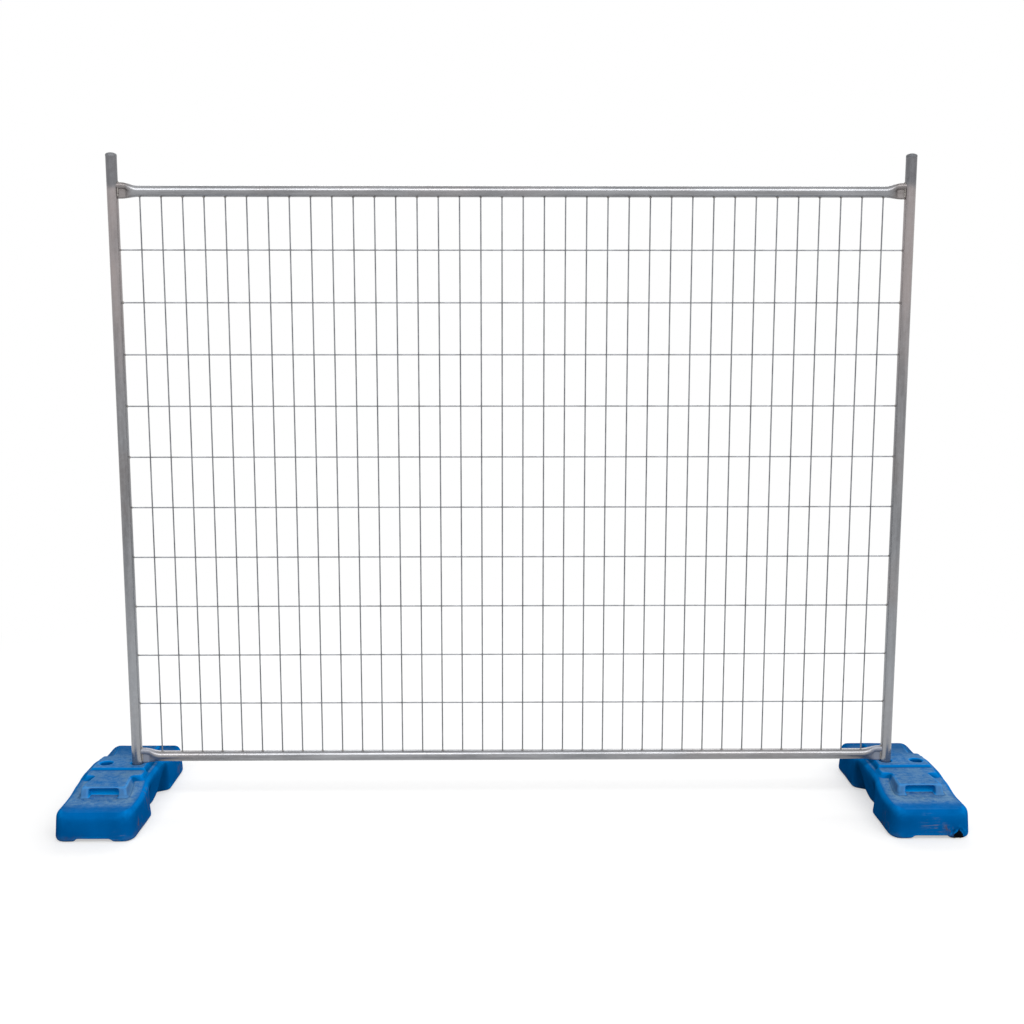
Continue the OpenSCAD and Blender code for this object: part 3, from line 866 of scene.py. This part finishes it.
class Web:  # the points of a mesh and the edges between them
    def __init__(self, mesh):
        self.count = len(mesh.vertices)
        pairs = np.zeros(len(mesh.edges) * 2, int)
        mesh.edges.foreach_get("vertices", pairs)
        self.a, self.b = pairs.reshape(-1, 2).T
        self.links = np.maximum(self.gather(np.ones(len(self.a)), np.ones(len(self.a))), 1)

    def read(self, rows, name):
        values = np.zeros(self.count * 3)
        rows.foreach_get(name, values)
        return values.reshape(-1, 3)

    def gather(self, fromB, fromA):  # sums over the edges that meet at each point
        return np.bincount(self.a, fromB, self.count) + np.bincount(self.b, fromA, self.count)

    def evened(self, values, share):  # each value moved towards the mean of its neighbours
        columns = values.reshape(self.count, -1).T
        means = np.stack([self.gather(c[self.b], c[self.a]) / self.links for c in columns], 1)
        return values + (means.reshape(values.shape) - values) * share


def gap(steps):
    return np.linalg.norm(steps, axis=1)


def fromSocket(at):  # steps on the ground plane from the axis of the nearest socket
    outer = np.sign(abs(at[:, 0]) - mouldLook["middle"]) * footLook["socketAway"]
    axis = np.sign(at[:, 0]) * (mouldLook["middle"] + outer)
    return np.stack([at[:, 0] - axis, at[:, 1]], 1)


def soften(shape, name):  # an even skin with rolled edges, in which the sockets keep their bore
    mesh = bpy.data.meshes.new(name)
    shape.to_mesh(mesh)
    rough = bpy.data.objects.new(name, mesh)
    scene.collection.objects.link(rough)
    remesh = rough.modifiers.new("remesh", "REMESH")
    remesh.mode = "VOXEL"
    remesh.voxel_size = footLook["voxel"]
    soft = bpy.data.meshes.new_from_object(rough.evaluated_get(bpy.context.evaluated_depsgraph_get()))
    bpy.data.objects.remove(rough)
    web = Web(soft)
    at = web.read(soft.vertices, "co")
    for _ in range(footLook["softPasses"]):
        at = web.evened(at, footLook["evening"])
    across = abs(abs(at[:, 0]) - mouldLook["middle"])
    roll = np.interp(across, footLook["rollWide"], (0, 1))
    roll = np.maximum(roll, np.interp(at[:, 2], footLook["rollHigh"], (0, 1, 1, 0)))
    roll = roll * np.interp(at[:, 2], footLook["rollHigh"][:2], (0, 1))
    roll = roll * np.interp(gap(fromSocket(at)), footLook["socketKeep"], (0, 1))
    for _ in range(footLook["rollPasses"]):
        at = web.evened(at, footLook["evening"] * roll[:, None])
    out = fromSocket(at)
    tight = gap(out) < footLook["socketRadius"]
    at[tight, :2] += out[tight] * (footLook["socketRadius"] / gap(out[tight]) - 1)[:, None]
    soft.vertices.foreach_set("co", at.ravel())
    return soft


def edgeShare(mesh):  # how convex the skin is at each point
    web = Web(mesh)
    at = web.read(mesh.vertices, "co")
    facing = web.read(mesh.vertex_normals, "vector")
    step = at[web.b] - at[web.a]
    bend = web.gather(-(step * facing[web.a]).sum(1), (step * facing[web.b]).sum(1)) / web.links
    for _ in range(footLook["edgePasses"]):
        bend = web.evened(bend, footLook["evening"])
    return np.clip(bend * footLook["edgeGain"] / footLook["voxel"], -1, 1)


def skinPush(at):  # how far the skin stands proud of the moulded form
    if at.z < footLook["waveFrom"]:
        return 0
    push = noise.noise(at / footLook["waveSize"]) * footLook["waveHeight"]
    tearAt, tearReach = mouldLook["tearAt"]
    away = (at - Vector(tearAt)).length / tearReach
    if away < 1:
        ragged = footLook["tearMean"] + noise.noise(at / footLook["tearSize"])
        push -= footLook["tearDepth"] * (1 - away) * ragged
    return push


def recessShare(places, facing):  # 1 on the ceiling of the recess under each end
    across = abs(abs(places[:, 0]) - mouldLook["middle"])
    share = np.interp(across, footLook["recessWide"], (1, 0))
    share = share * np.interp(abs(places[:, 1]), footLook["recessLong"], (0, 1))
    return share * np.clip(-facing[:, 2], 0, 1) * (places[:, 2] < footLook["recessTop"])


def makeFoot(side):
    outer, hollow = splitShell(side)
    skin = soften(outer, side + "_foot_skin")
    web = Web(skin)
    places = web.read(skin.vertices, "co")
    facing = web.read(skin.vertex_normals, "vector")
    push = np.array([skinPush(Vector(at)) for at in places])
    push = push * np.interp(gap(fromSocket(places)), footLook["socketKeep"], (0, 1))
    push = push - footLook["recessSink"] * recessShare(places, facing)
    skin.vertices.foreach_set("co", (places + facing * push[:, None]).ravel())
    edge = edgeShare(skin)
    outerCount = len(skin.vertices)
    whole = bmesh.new()
    whole.from_mesh(skin)
    lining = bpy.data.meshes.new("lining")
    hollow.to_mesh(lining)
    whole.from_mesh(lining)
    mesh = bpy.data.meshes.new(side + "_foot_moulding")
    whole.to_mesh(mesh)
    bpy.data.meshes.remove(lining)
    share = mesh.attributes.new("edge", "FLOAT", "POINT")
    share.data.foreach_set("value", np.concatenate([edge, np.zeros(len(mesh.vertices) - outerCount)]))
    addPiece(side + "_foot_moulding", mesh, mouldBlue, side + "_foot", side + "_foot_shell")
    print(side, "foot:", len(mesh.polygons), "faces, edge range", edge.min(), edge.max())


for side in sides:
    makeFoot(side)


# the camera stands where the photograph was taken

cameraLook = {"place": (-0.0412, -3.7688, 1.4537), "down": 8.33, "turn": -0.6, "lens": 45, "film": 36}
camera = bpy.data.objects.new("camera", bpy.data.cameras.new("camera"))
camera.location = cameraLook["place"]
camera.rotation_euler = (math.radians(90 - cameraLook["down"]), 0, math.radians(cameraLook["turn"]))
camera.data.lens = cameraLook["lens"]
camera.data.sensor_width = cameraLook["film"]
scene.collection.objects.link(camera)
scene.camera = camera

# studio

studioLook = {
    "floor": 30,  # half its width
    "rough": 0.9,
    "gloss": 0.1,
    "pale": (0.48, 0.48, 0.48, 1),
    "bounce": (0.3, 0.3, 0.3, 1),  # what the ground gives back to the object
    "floorLift": 0.5,
    "whiteFrom": 1.9,  # beyond this the floor runs out to plain white
    "whiteBy": 3.2,
    "sky": 0.62,
    "skyRight": 0.6,  # the sky is lighter on the right and in front
    "skyFront": 0.08,
    "lamps": [  # name, place, aim, width and height, watts
        ("strip_lamp", (0.3, -5.5, 6.0), (0.1, 0, 0.9), (9.6, 2.8), 410),
        ("back_lamp", (0.4, 5.0, 4.4), (0, 0, 0.8), (7.0, 2.6), 150),
    ],
}


def makeFloor():
    mesh = bpy.data.meshes.new("floor")
    half = studioLook["floor"]
    around = [(-half, -half, 0), (half, -half, 0), (half, half, 0), (-half, half, 0)]
    mesh.from_pydata(around, [], [(0, 1, 2, 3)])
    floor = bpy.data.objects.new("floor", mesh)
    scene.collection.objects.link(floor)
    look = Finish("pale_floor")
    seen = look.seen()
    colour = look.blend(seen, studioLook["bounce"], studioLook["pale"])
    look.set(Base_Color=colour, Roughness=studioLook["rough"], Specular_IOR_Level=studioLook["gloss"])
    strength = seen * studioLook["floorLift"]
    lift = look.add("ShaderNodeEmission", None, {"Color": (1, 1, 1, 1), "Strength": strength})
    near = look.add("ShaderNodeAddShader", None, {0: Sock(look, look.shader.outputs[0]), 1: lift})
    white = look.add("ShaderNodeEmission", None, {"Color": (1, 1, 1, 1), "Strength": 1.0})
    away = look.add("ShaderNodeVectorMath", {"operation": "LENGTH"}, {0: look.place}, "Value")
    far = look.rise(away, studioLook["whiteFrom"], studioLook["whiteBy"]) * seen
    both = look.add("ShaderNodeMixShader", None, {0: far, 1: near, 2: white})
    look.put(look.tree.nodes["Material Output"].inputs["Surface"], both)
    floor.data.materials.append(look.material)


def makeLamp(name, place, aim, size, watts):
    lamp = bpy.data.objects.new(name, bpy.data.lights.new(name, "AREA"))
    lamp.data.shape = "RECTANGLE"
    lamp.data.size, lamp.data.size_y = size
    lamp.data.energy = watts
    lamp.location = place
    lamp.rotation_euler = (Vector(aim) - Vector(place)).to_track_quat("-Z", "Y").to_euler()
    scene.collection.objects.link(lamp)


def makeSky():
    world = bpy.data.worlds.new("studio")
    scene.world = world
    world.use_nodes = True
    sky = Graph(world.node_tree)
    back = world.node_tree.nodes["Background"]
    sky.put(back.inputs["Color"], (1, 1, 1, 1))
    way = sky.add("ShaderNodeTexCoord", out="Generated")
    right, deep = (sky.add("ShaderNodeSeparateXYZ", None, {0: way}, axis) for axis in ("X", "Y"))
    soft = studioLook["sky"] + right * studioLook["skyRight"] - deep * studioLook["skyFront"]
    seen = sky.seen()
    sky.put(back.inputs["Strength"], seen + (1 - seen) * soft)


makeFloor()
for lamp in studioLook["lamps"]:
    makeLamp(*lamp)
makeSky()
scene.view_settings.view_transform = "Standard"
print("studio made")
